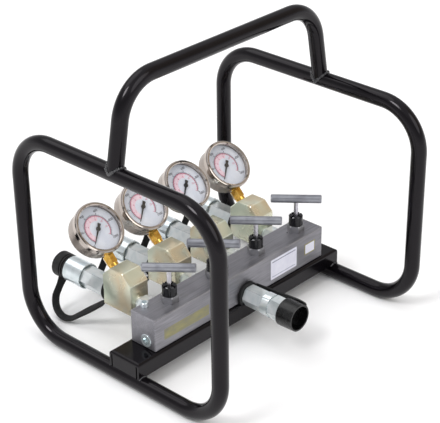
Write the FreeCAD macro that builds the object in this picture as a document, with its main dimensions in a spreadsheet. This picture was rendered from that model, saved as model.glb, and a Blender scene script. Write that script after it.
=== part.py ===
import FreeCAD, Part

import math
import os
import re

import Sketcher

# Four-outlet hydraulic manifold with needle valves and pressure gauges in a tubular carrying cage.
# Frame: +Z up with the floor at Z = 0, X along the manifold block, -Y the inlet side, +Y the outlets.
# The origin is on the floor under the middle of the whole object. All sizes are in millimetres and degrees.

SIZES = {
    # cage of bent tube
    "tube_outer": 20.0,
    "tube_wall": 2.0,
    "cage_y": -7.5,
    "loop_half_x": 180.5,
    "loop_half_y": 163.0,
    "loop_high": 291.0,
    "loop_bend": 57.0,
    "handle_y": -12.5,
    "handle_high": 395.0,
    "handle_bend": 52.0,
    "handle_lean": 10.5,
    # folded rail under the block
    "rail_past": 6.5,
    "rail_wide": 50.0,
    "rail_high": 21.0,
    "rail_sheet": 3.0,
    "rail_bend": 4.0,
    "rail_seat": 1.0,
    "rail_notch": 2.0,
    # manifold block
    "block_left": -154.0,
    "block_long": 313.0,
    "block_wide": 41.0,
    "block_high": 44.0,
    "block_y": -19.0,
    "block_edge": 1.0,
    "station_first": -107.0,
    "station_pitch": 78.6,
    "inlet_x": 9.0,
    "inlet_rise": 9.0,
    "port_rise": 19.0,
    "gallery_rise": 11.0,
    "gallery_back": 15.0,
    "gallery_bore": 8.0,
    "outlet_bore": 5.5,
    "thread_outer": 16.6,
    "thread_deep": 11.0,
    "inlet_thread": 13.0,
    "inlet_thread_deep": 9.0,
    "fit_gap": 0.05,
    # screws and plug
    "plug_flange": 17.0,
    "plug_proud": 1.2,
    "plug_deep": 10.0,
    "plug_key": 8.0,
    "vent_x": 17.0,
    "vent_back": 7.2,
    "vent_head": 10.0,
    "vent_head_high": 6.0,
    "vent_shank": 6.0,
    "vent_deep": 12.0,
    "vent_key": 5.0,
    "bolt_shank": 8.0,
    "bolt_head": 13.0,
    "bolt_head_high": 5.3,
    "bolt_deep": 10.0,
    "bolt_inset": 14.0,
    "bolt_back": 9.0,
    "top_hole": 2.6,
    "top_hole_deep": 4.0,
    "top_hole_x": 115.7,
    "top_hole_y": -15.8,
    # needle valves
    "seat_rise": 16.0,
    "seat_bore": 5.0,
    "chamber_bore": 9.0,
    "bonnet_thread": 16.0,
    "bonnet_deep": 16.0,
    "bonnet_flats": 20.0,
    "bonnet_high": 9.0,
    "gland_bore": 12.0,
    "packing_high": 5.0,
    "gland_outer": 18.5,
    "gland_high": 13.5,
    "gland_slot": 3.0,
    "gland_slot_deep": 2.2,
    "stem_thread": 8.0,
    "stem_thread_long": 13.0,
    "stem_rod": 6.0,
    "stem_foot": 7.0,
    "needle_rod": 4.0,
    "needle_outer": 7.0,
    "needle_tip": 2.0,
    "needle_cone": 3.0,
    "needle_spigot": 5.0,
    "tee_rise": 46.0,
    "tee_outer": 11.0,
    "tee_long": 66.0,
    "tee_angle": -50.0,
    "tee_edge": 1.0,
    "tee_hole_deep": 8.0,
    # nipples and gauge blocks
    "nipple_gap": 32.0,
    "nipple_flats": 22.0,
    "nipple_hex": 22.0,
    "nipple_bore": 7.0,
    "gauge_block_thick": 30.0,
    "gauge_block_deep": 50.5,
    "gauge_block_high": 56.5,
    "gauge_block_drop": 15.0,
    "gauge_block_corner": 14.0,
    "gauge_block_edge": 0.8,
    "cross_bore": 7.0,
    # gauges
    "socket_reach": 50.0,
    "socket_thread": 13.0,
    "socket_thread_deep": 9.0,
    "socket_collar": 4.5,
    "socket_flats": 14.0,
    "socket_hex": 12.0,
    "socket_neck": 9.0,
    "socket_bore": 3.0,
    "socket_block": 11.0,
    "socket_block_from": 29.8,
    "socket_block_long": 15.0,
    "case_outer": 64.0,
    "case_wall": 1.2,
    "case_deep": 22.0,
    "case_round": 2.5,
    "stem_from_back": 9.5,
    "bezel_outer": 69.0,
    "bezel_front": 28.0,
    "bezel_skirt": 9.0,
    "dial_view": 59.0,
    "window_thick": 2.5,
    "dial_thick": 1.0,
    "dial_back": 18.5,
    "movement_side": 18.0,
    "movement_back": 5.0,
    "bourdon_radius": 23.0,
    "bourdon_tube": 5.0,
    "bourdon_sweep": 255.0,
    "pointer_arbor": 2.0,
    "pointer_hub": 6.0,
    "pointer_long": 22.0,
    "pointer_tail": 8.0,
    "pointer_thick": 0.6,
    "pointer_zero": 135.0,
    # inside of every coupler, measured from the mouth inwards
    "shell_edge": 0.6,
    "mouth_bore": 18.0,
    "mouth_deep": 9.0,
    "poppet_seat": 11.0,
    "poppet_seat_long": 2.0,
    "poppet_chamber": 16.0,
    "chamber_long": 28.0,
    "throat_bore": 9.0,
    "poppet_head": 14.4,
    "poppet_head_high": 5.0,
    "poppet_nose": 10.4,
    "poppet_nose_high": 4.0,
    "poppet_tail_long": 10.0,
    "poppet_flat": 3.5,
    "clip_thick": 1.4,
    "clip_open": 5.0,
    # outlet couplers, lengths from the gauge block's rear face
    "outlet_neck": 23.0,
    "outlet_neck_long": 3.2,
    "outlet_flats": 26.0,
    "outlet_hex_end": 46.0,
    "outlet_shell": 26.0,
    "outlet_long": 75.0,
    "outlet_groove": 70.0,
    "outlet_clip_outer": 29.2,
    "outlet_clip_inner": 24.6,
    "sleeve_outer": 34.0,
    "sleeve_start": 44.0,
    "sleeve_long": 31.0,
    "sleeve_edge": 0.4,
    "sleeve_recess": 6.0,
    "sleeve_recess_bore": 31.2,
    "sleeve_thread_bore": 30.0,
    "sleeve_thread_deep": 6.0,
    "outlet_cap_start": 75.3,
    "outlet_cap_outer": 34.0,
    "cap_long": 21.2,
    "cap_edge": 1.5,
    "cap_spigot_outer": 29.4,
    "cap_spigot_inner": 26.8,
    "cap_spigot_long": 3.5,
    "cap_rib": 2.4,
    "cap_groove": 1.5,
    "cap_hollow": 14.0,
    # inlet coupler, lengths from the manifold block's front face
    "inlet_neck": 15.0,
    "inlet_neck_long": 5.0,
    "inlet_flats": 25.0,
    "inlet_hex_end": 34.0,
    "inlet_shell": 22.4,
    "inlet_long": 61.5,
    "inlet_groove": 53.0,
    "inlet_clip_outer": 25.2,
    "inlet_clip_inner": 21.0,
    "inlet_sleeve_start": 34.2,
    "inlet_sleeve_long": 29.3,
    "inlet_sleeve_outer": 30.4,
    "inlet_sleeve_round": 12.0,
    "inlet_sleeve_flats": 27.0,
    "inlet_thread_bore": 26.4,
    "inlet_bore_deep": 11.5,
    "inlet_cap_start": 64.0,
    "inlet_cap_outer": 36.0,
    "inlet_cap_end": 35.0,
    "inlet_cap_long": 24.0,
    "inlet_cap_recess": 31.0,
    "inlet_cap_recess_deep": 14.0,
    "inlet_cap_spigot_outer": 25.8,
    "inlet_cap_spigot_inner": 23.2,
    "inlet_cap_hollow": 4.0,
    "inlet_cap_nub": 3.0,
    # rubber straps between the couplers' necks and the caps
    "strap_ring_outer": 34.0,
    "strap_ring_gap": 0.3,
    "strap_wide": 10.0,
    "strap_thick": 2.4,
    "strap_from": 12.8,
    "strap_into_cap": 1.8,
    "outlet_strap_lean": 30.0,
    "outlet_strap_root": 12.0,
    "outlet_strap_root_turn": 48.0,
    "outlet_strap_sweep": 26.0,
    "outlet_strap_sweep_turn": 120.0,
    "outlet_strap_end": 12.0,
    "outlet_strap_end_turn": 16.0,
    "outlet_strap_on_cap": 9.2,
    "inlet_strap_lean": 65.0,
    "inlet_strap_root": 4.5,
    "inlet_strap_root_turn": 82.0,
    "inlet_strap_sweep": 60.0,
    "inlet_strap_sweep_turn": 18.0,
    "inlet_strap_end": 4.0,
    "inlet_strap_end_turn": 80.0,
    "inlet_strap_on_cap": 20.0,
}

STATIONS = range(4)

doc = FreeCAD.newDocument("manifold")
sheet = doc.addObject("Spreadsheet::Sheet", "Sizes")
for row, (alias, number) in enumerate(SIZES.items(), start=1):
    sheet.set(f"A{row}", alias.replace("_", " "))
    sheet.set(f"B{row}", str(number))
    sheet.setAlias(f"B{row}", alias)
doc.recompute()


def sized(text):
    """The expression with every size name pointing at its cell of the sheet."""
    return re.sub(r"[a-z_]+", lambda word: f"Sizes.{word[0]}" if word[0] in SIZES else word[0], str(text))


def bind(thing, **sizes):
    """Binds properties of a document object to expressions of the sizes."""
    for name, text in sizes.items():
        thing.setExpression(name, sized(text))


TURN_X = FreeCAD.Vector(1, 0, 0)
UP = FreeCAD.Rotation()
TO_REAR = FreeCAD.Rotation(TURN_X, -90)
TO_FRONT = FreeCAD.Rotation(TURN_X, 90)
TO_RIGHT = FreeCAD.Rotation(FreeCAD.Vector(0, 1, 0), 90)
DOWN = FreeCAD.Rotation(TURN_X, 180)
STEM_WAY = FreeCAD.Rotation(TURN_X, -45)
DIAL_WAY = FreeCAD.Rotation(TURN_X, 45)


def about_z(angle):
    return FreeCAD.Rotation(FreeCAD.Vector(0, 0, 1), angle)


def put(thing, at=("0", "0", "0"), turn=UP):
    """Turns a piece and binds its place, given as three expressions."""
    thing.Placement = FreeCAD.Placement(FreeCAD.Vector(), turn)
    for axis, text in zip("xyz", at):
        thing.setExpression(f"Placement.Base.{axis}", sized(text))
    return thing


def new_body(label):
    body = doc.addObject("PartDesign::Body", "Body")
    body.Label = label
    return body


def plane_of(body, role):
    return next(item for item in body.Origin.OriginFeatures if item.Role == role)


def new_sketch(body, role, rise="0"):
    sketch = body.newObject("Sketcher::SketchObject", "Sketch")
    sketch.AttachmentSupport = [(plane_of(body, role), "")]
    sketch.MapMode = "FlatFace"
    sketch.setExpression("AttachmentOffset.Base.z", sized(rise))
    return sketch


def pin_point(sketch, edge, end, across, along):
    """Ties one end of a sketch edge to two expressions, measured from the origin."""
    for kind, text, axis in (("DistanceX", across, -2), ("DistanceY", along, -1)):
        if str(text) == "0":
            sketch.addConstraint(Sketcher.Constraint("PointOnObject", edge, end, axis))
        else:
            index = sketch.addConstraint(Sketcher.Constraint(kind, -1, 1, edge, end, 1.0))
            sketch.setExpression(f"Constraints[{index}]", sized(text))


def outline(sketch, points):
    """A closed outline of straight edges through points given as pairs of expressions."""
    count = len(points)
    for index in range(count):
        angle = 2 * math.pi * index / count
        after = 2 * math.pi * (index + 1) / count
        start = FreeCAD.Vector(9 + 5 * math.cos(angle), 9 + 5 * math.sin(angle))
        end = FreeCAD.Vector(9 + 5 * math.cos(after), 9 + 5 * math.sin(after))
        sketch.addGeometry(Part.LineSegment(start, end), False)
    for index in range(count):
        sketch.addConstraint(Sketcher.Constraint("Coincident", index, 2, (index + 1) % count, 1))
    for index, (across, along) in enumerate(points):
        pin_point(sketch, index, 1, across, along)


def turned(label, profile, at=("0", "0", "0"), turn=UP):
    """A body turned about its own Z axis from a profile of (radius, height) expressions."""
    body = new_body(label)
    sketch = new_sketch(body, "XZ_Plane")
    outline(sketch, profile)
    feature = body.newObject("PartDesign::Revolution", "Turned")
    feature.Profile = sketch
    feature.ReferenceAxis = (sketch, ["V_Axis"])
    feature.Angle = 360
    return put(body, at, turn)


def cylinder(radius, height, at=("0", "0", "0"), turn=UP):
    tool = doc.addObject("Part::Cylinder", "Cylinder")
    bind(tool, Radius=radius, Height=height)
    return put(tool, at, turn)


def box(sides, at, turn=UP):
    tool = doc.addObject("Part::Box", "Box")
    bind(tool, Length=sides[0], Width=sides[1], Height=sides[2])
    return put(tool, at, turn)


def hexagon(flats, height, at=("0", "0", "0"), turn=UP):
    prism = doc.addObject("Part::Prism", "Prism")
    prism.Polygon = 6
    bind(prism, Circumradius=f"({flats}) / 2 / cos(30)", Height=height)
    return put(prism, at, turn)


def cut(label, base, *tools):
    """The base with every tool cut out of it, as one document object."""
    result = doc.addObject("Part::Cut", "Cut")
    result.Label = label
    result.Base = base
    if len(tools) == 1:
        result.Tool = tools[0]
    else:
        joined = doc.addObject("Part::Compound", "Tools")
        joined.Links = list(tools)
        result.Tool = joined
    return result


def fused(label, *pieces):
    result = doc.addObject("Part::MultiFuse", "Fused")
    result.Label = label
    result.Shapes = list(pieces)
    return result


def common(label, *pieces):
    result = doc.addObject("Part::MultiCommon", "Common")
    result.Label = label
    result.Shapes = list(pieces)
    return result


def group(label, pieces):
    """Identical pieces kept as separate solids of one sub-part."""
    result = doc.addObject("Part::Compound", "Group")
    result.Label = label
    result.Links = list(pieces)
    return result


def plus(*texts):
    return " + ".join(f"({text})" for text in texts)


def minus(first, *texts):
    return f"({first})" + "".join(f" - ({text})" for text in texts)


# Levels and faces that several pieces share
RAIL_HALF = "(loop_half_x + rail_past)"
RAIL_BOTTOM = "(tube_outer - rail_seat)"
BLOCK_BOTTOM = f"({RAIL_BOTTOM} + rail_high)"
BLOCK_TOP = f"({BLOCK_BOTTOM} + block_high)"
BLOCK_FRONT = "(block_y - block_wide / 2)"
BLOCK_REAR = "(block_y + block_wide / 2)"
PORT_Z = f"({BLOCK_BOTTOM} + port_rise)"
INLET_Z = f"({BLOCK_BOTTOM} + inlet_rise)"
GALLERY_Z = f"({BLOCK_BOTTOM} + gallery_rise)"
GALLERY_Y = f"({BLOCK_FRONT} + gallery_back)"
SEAT_Z = f"({BLOCK_BOTTOM} + seat_rise)"
GAUGE_BLOCK_FRONT = f"({BLOCK_REAR} + nipple_gap)"
GAUGE_BLOCK_REAR = f"({GAUGE_BLOCK_FRONT} + gauge_block_deep)"
GAUGE_BLOCK_BOTTOM = f"({PORT_Z} - gauge_block_drop)"
FACET_Y = f"({GAUGE_BLOCK_REAR} - gauge_block_corner / 2)"
FACET_Z = f"({GAUGE_BLOCK_BOTTOM} + gauge_block_high - gauge_block_corner / 2)"
GAUGE_Y = f"({FACET_Y} + socket_reach * cos(45))"
GAUGE_Z = f"({FACET_Z} + socket_reach * cos(45))"
CASE_BACK_Y = f"({GAUGE_Y} + stem_from_back * cos(45))"
CASE_BACK_Z = f"({GAUGE_Z} - stem_from_back * cos(45))"
TEE_Z = f"({BLOCK_TOP} + tee_rise)"


def station_x(number):
    return f"(station_first + {number} * station_pitch)"


def along_stem(number, reach):
    """A point on a gauge's stem axis, at a distance from the gauge block's sloping facet."""
    return (station_x(number), f"{FACET_Y} + ({reach}) * cos(45)", f"{FACET_Z} + ({reach}) * cos(45)")


def on_case(number, depth="0"):
    """A point on a gauge's dial axis, at a distance in front of the back of its case."""
    return (station_x(number), f"{CASE_BACK_Y} - ({depth}) * cos(45)", f"{CASE_BACK_Z} + ({depth}) * cos(45)")


def number_of(alias):
    """The present value of one size, for shapes that no expression can reach."""
    return float(sheet.get(alias))


# Cage: two loops and a handle of bent tube, with the rail that lies across the loops
def half_pipe(label, path, path_plane, ring_plane, at):
    """A tube swept along half of a symmetric path and mirrored to the other half."""
    body = new_body(label)
    spine = new_sketch(body, path_plane)
    path(spine)
    ring = new_sketch(body, ring_plane)
    for index, diameter in enumerate(("tube_outer", "tube_outer - 2 * tube_wall")):
        circle = Part.Circle(FreeCAD.Vector(0, 0, 0), FreeCAD.Vector(0, 0, 1), 9 - index)
        ring.addGeometry(circle, False)
        size = ring.addConstraint(Sketcher.Constraint("Diameter", index, 18.0 - 2 * index))
        ring.setExpression(f"Constraints[{size}]", sized(diameter))
        ring.addConstraint(Sketcher.Constraint("Coincident", index, 3, -1, 1))
    doc.recompute()
    sweep = body.newObject("PartDesign::AdditivePipe", "Tube")
    sweep.Profile = ring
    sweep.Spine = (spine, [f"Edge{number + 1}" for number in range(len(spine.Geometry))])
    doc.recompute()
    mirror = body.newObject("PartDesign::Mirrored", "OtherHalf")
    mirror.Originals = [sweep]
    mirror.MirrorPlane = (plane_of(body, ring_plane), [""])
    body.Tip = mirror
    return put(body, at)


def arc_between(sketch, centre, radius, first, last):
    circle = Part.Circle(FreeCAD.Vector(*centre, 0), FreeCAD.Vector(0, 0, 1), radius)
    sketch.addGeometry(Part.ArcOfCircle(circle, math.radians(first), math.radians(last)), False)


def line_between(sketch, start, end):
    sketch.addGeometry(Part.LineSegment(FreeCAD.Vector(*start, 0), FreeCAD.Vector(*end, 0)), False)


def set_size(sketch, kind, places, start, text):
    """Adds a dimension to a sketch and ties it to an expression."""
    index = sketch.addConstraint(Sketcher.Constraint(kind, *places, start))
    sketch.setExpression(f"Constraints[{index}]", sized(text))


def loop_path(sketch):
    """Half of a loop's centre line, from the middle of its foot to the middle of its top."""
    half = number_of("loop_half_y")
    bend = number_of("loop_bend")
    high = number_of("loop_high") - number_of("tube_outer")
    line_between(sketch, (0, 0), (half - bend, 0))
    arc_between(sketch, (half - bend, bend), bend, -90, 0)
    line_between(sketch, (half, bend), (half, high - bend))
    arc_between(sketch, (half - bend, high - bend), bend, 0, 90)
    line_between(sketch, (half - bend, high), (0, high))
    sketch.addConstraint(Sketcher.Constraint("Coincident", 0, 1, -1, 1))
    for edge in range(4):
        sketch.addConstraint(Sketcher.Constraint("Tangent", edge, 2, edge + 1, 1))
    sketch.addConstraint(Sketcher.Constraint("Horizontal", 0))
    sketch.addConstraint(Sketcher.Constraint("Vertical", 2))
    sketch.addConstraint(Sketcher.Constraint("Horizontal", 4))
    sketch.addConstraint(Sketcher.Constraint("PointOnObject", 4, 2, -2))
    sketch.addConstraint(Sketcher.Constraint("Equal", 1, 3))
    set_size(sketch, "Radius", (1,), bend, "loop_bend")
    set_size(sketch, "DistanceX", (-1, 1, 2, 1), half, "loop_half_y")
    set_size(sketch, "DistanceY", (-1, 1, 4, 2), high, "loop_high - tube_outer")


def handle_path(sketch):
    """Half of the handle's centre line, from the middle of its grip down to the loop's top bar."""
    lean = math.radians(number_of("handle_lean"))
    bend = number_of("handle_bend")
    foot = (number_of("loop_half_x"), number_of("loop_high") - number_of("handle_high"))
    leg_top = -bend * (1 - math.sin(lean))
    shoulder = foot[0] - math.tan(lean) * (leg_top - foot[1]) - bend * math.cos(lean)
    line_between(sketch, (0, 0), (shoulder, 0))
    arc_between(sketch, (shoulder, -bend), bend, math.degrees(lean), 90)
    line_between(sketch, foot, (shoulder + bend * math.cos(lean), leg_top))
    sketch.addConstraint(Sketcher.Constraint("Coincident", 0, 1, -1, 1))
    sketch.addConstraint(Sketcher.Constraint("Horizontal", 0))
    sketch.addConstraint(Sketcher.Constraint("Tangent", 0, 2, 1, 2))
    sketch.addConstraint(Sketcher.Constraint("Tangent", 1, 1, 2, 2))
    set_size(sketch, "Radius", (1,), bend, "handle_bend")
    set_size(sketch, "DistanceX", (-1, 1, 2, 1), foot[0], "loop_half_x")
    set_size(sketch, "DistanceY", (-1, 1, 2, 1), foot[1], "loop_high - handle_high")
    set_size(sketch, "Angle", (2,), math.pi / 2 + lean, "(90 + handle_lean) * 1 deg")


def bar_along_y(height):
    """Two solid bars of the tube's outer size, where the loops' bars run at one height."""
    bars = []
    for side in ("-loop_half_x", "loop_half_x"):
        place = (side, "cage_y - loop_half_y", height)
        bars.append(cylinder("tube_outer / 2", "2 * loop_half_y", place, TO_REAR))
    return bars


left_loop = half_pipe("cage_loop_left", loop_path, "YZ_Plane", "XZ_Plane",
                      ("-loop_half_x", "cage_y", "tube_outer / 2"))
right_loop = half_pipe("cage_loop_right", loop_path, "YZ_Plane", "XZ_Plane",
                       ("loop_half_x", "cage_y", "tube_outer / 2"))
handle_tube = half_pipe("HandleTube", handle_path, "XZ_Plane", "YZ_Plane",
                        ("0", "handle_y", "handle_high - tube_outer / 2"))
handle = cut("carry_handle", handle_tube, *bar_along_y("loop_high - tube_outer / 2"))


def edges_where(shape, wanted):
    """Names of the edges whose two ends both satisfy a test."""
    return [f"Edge{number}" for number, edge in enumerate(shape.Edges, start=1)
            if all(wanted(vertex.Point) for vertex in edge.Vertexes)]


def block_of(label, left, right, front, rear, height):
    """A body padded from a rectangle given by expressions of its four sides."""
    body = new_body(label)
    sketch = new_sketch(body, "XY_Plane")
    outline(sketch, [(left, front), (right, front), (right, rear), (left, rear)])
    pad = body.newObject("PartDesign::Pad", "Pad")
    pad.Profile = sketch
    bind(pad, Length=height)
    doc.recompute()
    return body, pad


rail_body, rail_pad = block_of("RailBlank", f"-{RAIL_HALF}", RAIL_HALF, "-rail_wide / 2", "rail_wide / 2",
                               "rail_high")
rail_top = number_of("rail_high")
fillet = rail_body.newObject("PartDesign::Fillet", "Bends")
fillet.Base = (rail_pad, edges_where(rail_pad.Shape, lambda point: point.z > rail_top - 1))
bind(fillet, Radius="rail_bend")
doc.recompute()
inside = new_sketch(rail_body, "XY_Plane")
outline(inside, [(f"rail_sheet - {RAIL_HALF}", "rail_sheet - rail_wide / 2"),
                 (f"{RAIL_HALF} - rail_sheet", "rail_sheet - rail_wide / 2"),
                 (f"{RAIL_HALF} - rail_sheet", "rail_wide / 2 - rail_sheet"),
                 (f"rail_sheet - {RAIL_HALF}", "rail_wide / 2 - rail_sheet")])
pocket = rail_body.newObject("PartDesign::Pocket", "Underside")
pocket.Profile = inside
pocket.Reversed = True
bind(pocket, Length="rail_high - rail_sheet")
put(rail_body, ("0", "block_y", RAIL_BOTTOM))
rail_tools = bar_along_y("tube_outer / 2")
for end in (-1, 1):
    for side in (-1, 1):
        corner = (f"{end} * ({RAIL_HALF} - rail_sheet / 2) - rail_sheet / 2",
                  f"block_y + {side} * (rail_wide / 2 - rail_sheet - rail_notch / 2) - rail_notch / 2",
                  RAIL_BOTTOM)
        rail_tools.append(box(("rail_sheet", "rail_notch", "rail_high - rail_bend"), corner))
BOLT_X = ("block_left + bolt_inset", "block_left + block_long - bolt_inset")
BOLT_Y = "block_y + bolt_back"
for across in BOLT_X:
    rail_tools.append(cylinder("bolt_shank / 2 + fit_gap", "rail_high", (across, BOLT_Y, RAIL_BOTTOM)))
rail = cut("base_rail", rail_body, *rail_tools)


# Manifold block with its drillings
block_body, block_pad = block_of("BlockBlank", "0", "block_long", "-block_wide / 2", "block_wide / 2",
                                 "block_high")
chamfer = block_body.newObject("PartDesign::Chamfer", "Edges")
chamfer.Base = (block_pad, [f"Edge{number + 1}" for number in range(len(block_pad.Shape.Edges))])
bind(chamfer, Size="block_edge")
put(block_body, ("block_left", "block_y", BLOCK_BOTTOM))
PORT_HOLE = "thread_outer / 2 + fit_gap"
drills = []
for number in STATIONS:
    along = station_x(number)
    valve_top = f"{BLOCK_TOP} - bonnet_deep"
    drills.append(cylinder("bonnet_thread / 2 + fit_gap", "bonnet_deep", (along, "block_y", valve_top)))
    drills.append(cylinder("chamber_bore / 2", "block_high - seat_rise", (along, "block_y", SEAT_Z)))
    drills.append(cylinder("seat_bore / 2", "seat_rise - gallery_rise", (along, "block_y", GALLERY_Z)))
    drills.append(cylinder(PORT_HOLE, "thread_deep", (along, f"{BLOCK_REAR} - thread_deep", PORT_Z), TO_REAR))
    drills.append(cylinder("outlet_bore / 2", "block_wide / 2", (along, "block_y", PORT_Z), TO_REAR))
INLET_FACE = ("inlet_x", BLOCK_FRONT, INLET_Z)
drills.append(cylinder("inlet_thread / 2 + fit_gap", "inlet_thread_deep", INLET_FACE, TO_REAR))
drills.append(cylinder("gallery_bore / 2", "gallery_back", INLET_FACE, TO_REAR))
GALLERY_LONG = f"{station_x(3)} - block_left + chamber_bore"
drills.append(cylinder("gallery_bore / 2", GALLERY_LONG, ("block_left", GALLERY_Y, GALLERY_Z), TO_RIGHT))
drills.append(cylinder(PORT_HOLE, "plug_deep", ("block_left", GALLERY_Y, GALLERY_Z), TO_RIGHT))
VENT = ("block_left + vent_x", f"{BLOCK_REAR} - vent_back")
drills.append(cylinder("vent_shank / 2 + fit_gap", "vent_deep", (*VENT, f"{BLOCK_TOP} - vent_deep")))
drills.append(cylinder("top_hole / 2", "top_hole_deep",
                       ("top_hole_x", "top_hole_y", f"{BLOCK_TOP} - top_hole_deep")))
for across in BOLT_X:
    drills.append(cylinder("bolt_shank / 2 + fit_gap", "bolt_deep", (across, BOLT_Y, BLOCK_BOTTOM)))
block = cut("manifold_block", block_body, *drills)


# Socket screws: the gallery plug, the vent screw and the bolts that hold the block to the rail
def socket_screw(label, head, head_high, shank, shank_long, key, key_deep, at, turn):
    """A screw standing on its head's seat: the shank goes down from Z = 0 and the head rises from it."""
    edge = "block_edge / 2"
    top = plus(shank_long, head_high)
    screw = turned("Screw", [("0", "0"), (shank, "0"), (shank, shank_long), (head, shank_long),
                             (head, minus(top, edge)), (minus(head, edge), top), ("0", top)])
    socket = hexagon(key, key_deep, ("0", "0", minus(top, key_deep)))
    return put(cut(label, screw, socket), at, turn)


TO_LEFT = FreeCAD.Rotation(FreeCAD.Vector(0, 1, 0), -90)
plug = socket_screw("gallery_plug", "plug_flange / 2", "plug_proud", "thread_outer / 2", "plug_deep",
                    "plug_key", "plug_deep / 2", ("block_left + plug_deep", GALLERY_Y, GALLERY_Z), TO_LEFT)
vent = socket_screw("vent_screw", "vent_head / 2", "vent_head_high", "vent_shank / 2", "vent_deep",
                    "vent_key", "vent_head_high / 2", (*VENT, f"{BLOCK_TOP} - vent_deep"), UP)
BOLT_TOP = f"{BLOCK_BOTTOM} + bolt_deep"
bolts = group("rail_bolts", [
    socket_screw("Bolt", "bolt_head / 2", "bolt_head_high", "bolt_shank / 2", "bolt_deep + rail_sheet",
                 "bolt_shank * 0.75", "bolt_head_high / 2", (across, BOLT_Y, BOLT_TOP), DOWN)
    for across in BOLT_X])


# Needle valves: bonnet screwed into the block, packing under a castellated gland nut, stem and T-bar
def chamfered_hex(flats, height, edge):
    """A hexagon whose corners are turned off at both ends."""
    corner = f"({flats}) / 2 / cos(30)"
    flat = minus(corner, edge)
    round_off = turned("Corners", [("0", "0"), (flat, "0"), (corner, edge), (corner, minus(height, edge)),
                                   (flat, height), ("0", height)])
    return common("Hex", hexagon(flats, height), round_off)


def bonnet(number):
    hexed = put(chamfered_hex("bonnet_flats", "bonnet_high", "block_edge"), ("0", "0", "bonnet_deep"))
    shank = cylinder("bonnet_thread / 2", "bonnet_deep")
    bored = cut("Bonnet", fused("BonnetBlank", shank, hexed),
                cylinder("stem_thread / 2 + fit_gap", "bonnet_deep"),
                cylinder("gland_bore / 2", "bonnet_high", ("0", "0", "bonnet_deep")))
    return put(bored, (station_x(number), "block_y", f"{BLOCK_TOP} - bonnet_deep"))


def packing(number):
    outer, inner = "gland_bore / 2 - fit_gap", "stem_rod / 2 + fit_gap"
    ring = turned("Packing", [(inner, "0"), (outer, "0"), (outer, "packing_high"), (inner, "packing_high")])
    return put(ring, (station_x(number), "block_y", BLOCK_TOP))


GLAND_Z = f"{BLOCK_TOP} + packing_high"
GLAND_SHANK = "(bonnet_high - packing_high)"


def gland_nut(number):
    """The gland nut presses on the packing and has four notches in its top for a hook spanner."""
    top = plus(GLAND_SHANK, "gland_high")
    edge = "block_edge"
    bore = "stem_rod / 2 + 4 * fit_gap"
    shank, head = "gland_bore / 2 - fit_gap", "gland_outer / 2"
    nut = turned("Nut", [(bore, "0"), (shank, "0"), (shank, GLAND_SHANK), (head, GLAND_SHANK),
                         (head, minus(top, edge)), (minus(head, edge), top), (bore, top)])
    slots = []
    for angle in (0, 90):
        slot, _ = block_of("Slot", "-gland_outer", "gland_outer", "-gland_slot / 2", "gland_slot / 2",
                           "gland_high")
        slots.append(put(slot, ("0", "0", minus(top, "gland_slot_deep")), about_z(angle)))
    return put(cut("GlandNut", nut, *slots), (station_x(number), "block_y", GLAND_Z))


STEM_FOOT_Z = f"({SEAT_Z} + stem_foot)"


def stem(number):
    """The screwed stem with a blind hole in its foot that the needle turns in."""
    top = f"({TEE_Z} - tee_outer / 2 + tee_hole_deep - fit_gap - {STEM_FOOT_Z})"
    rod, hole_top = "stem_rod / 2", "needle_spigot + fit_gap"
    spigot = "needle_rod / 2 + fit_gap"
    profile = [(spigot, "0"), ("stem_thread / 2", "0"), ("stem_thread / 2", "stem_thread_long"),
               (rod, "stem_thread_long + stem_thread / 2 - stem_rod / 2"), (rod, top), ("0", top),
               ("0", hole_top), (spigot, hole_top)]
    return turned(f"valve_stem_{number + 1}", profile, (station_x(number), "block_y", STEM_FOOT_Z))


def needle(number):
    """The needle does not turn: the stem turns on its spigot and pushes it on to the seat."""
    body, rod = "needle_outer / 2", "needle_rod / 2"
    reach = "stem_foot - fit_gap"
    top = plus(reach, "needle_spigot")
    profile = [("0", "-needle_tip"), ("seat_bore / 2 - needle_tip / 2", "-needle_tip"),
               ("seat_bore / 2 - fit_gap", "0"), (body, "needle_cone"), (body, reach), (rod, reach),
               (rod, top), ("0", top)]
    return turned(f"valve_needle_{number + 1}", profile, (station_x(number), "block_y", SEAT_Z))


def tee_bar(number):
    """The T-bar is a plain rod with turned ends, pushed on to the stem's top."""
    half = "tee_long / 2"
    rod = turned("TeeRod", [("0", "0"), ("tee_outer / 2 - tee_edge", "0"), ("tee_outer / 2", "tee_edge"),
                            ("tee_outer / 2", minus("tee_long", "tee_edge")),
                            ("tee_outer / 2 - tee_edge", "tee_long"), ("0", "tee_long")])
    lying = about_z(number_of("tee_angle")).multiply(TO_RIGHT)
    rod.Placement = FreeCAD.Placement(FreeCAD.Vector(), lying)
    rod.setExpression("Placement.Base.x", sized(f"{station_x(number)} - {half} * cos(tee_angle)"))
    rod.setExpression("Placement.Base.y", sized(f"block_y - {half} * sin(tee_angle)"))
    rod.setExpression("Placement.Base.z", sized(TEE_Z))
    hole = cylinder("stem_rod / 2 + fit_gap", "tee_hole_deep",
                    (station_x(number), "block_y", f"{TEE_Z} - tee_outer / 2"))
    return cut(f"tee_bar_{number + 1}", rod, hole)


bonnets = group("valve_bonnets", [bonnet(number) for number in STATIONS])
packings = group("stem_packings", [packing(number) for number in STATIONS])
gland_nuts = group("gland_nuts", [gland_nut(number) for number in STATIONS])
stems = [stem(number) for number in STATIONS]
needles = [needle(number) for number in STATIONS]
tee_bars = [tee_bar(number) for number in STATIONS]


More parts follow.
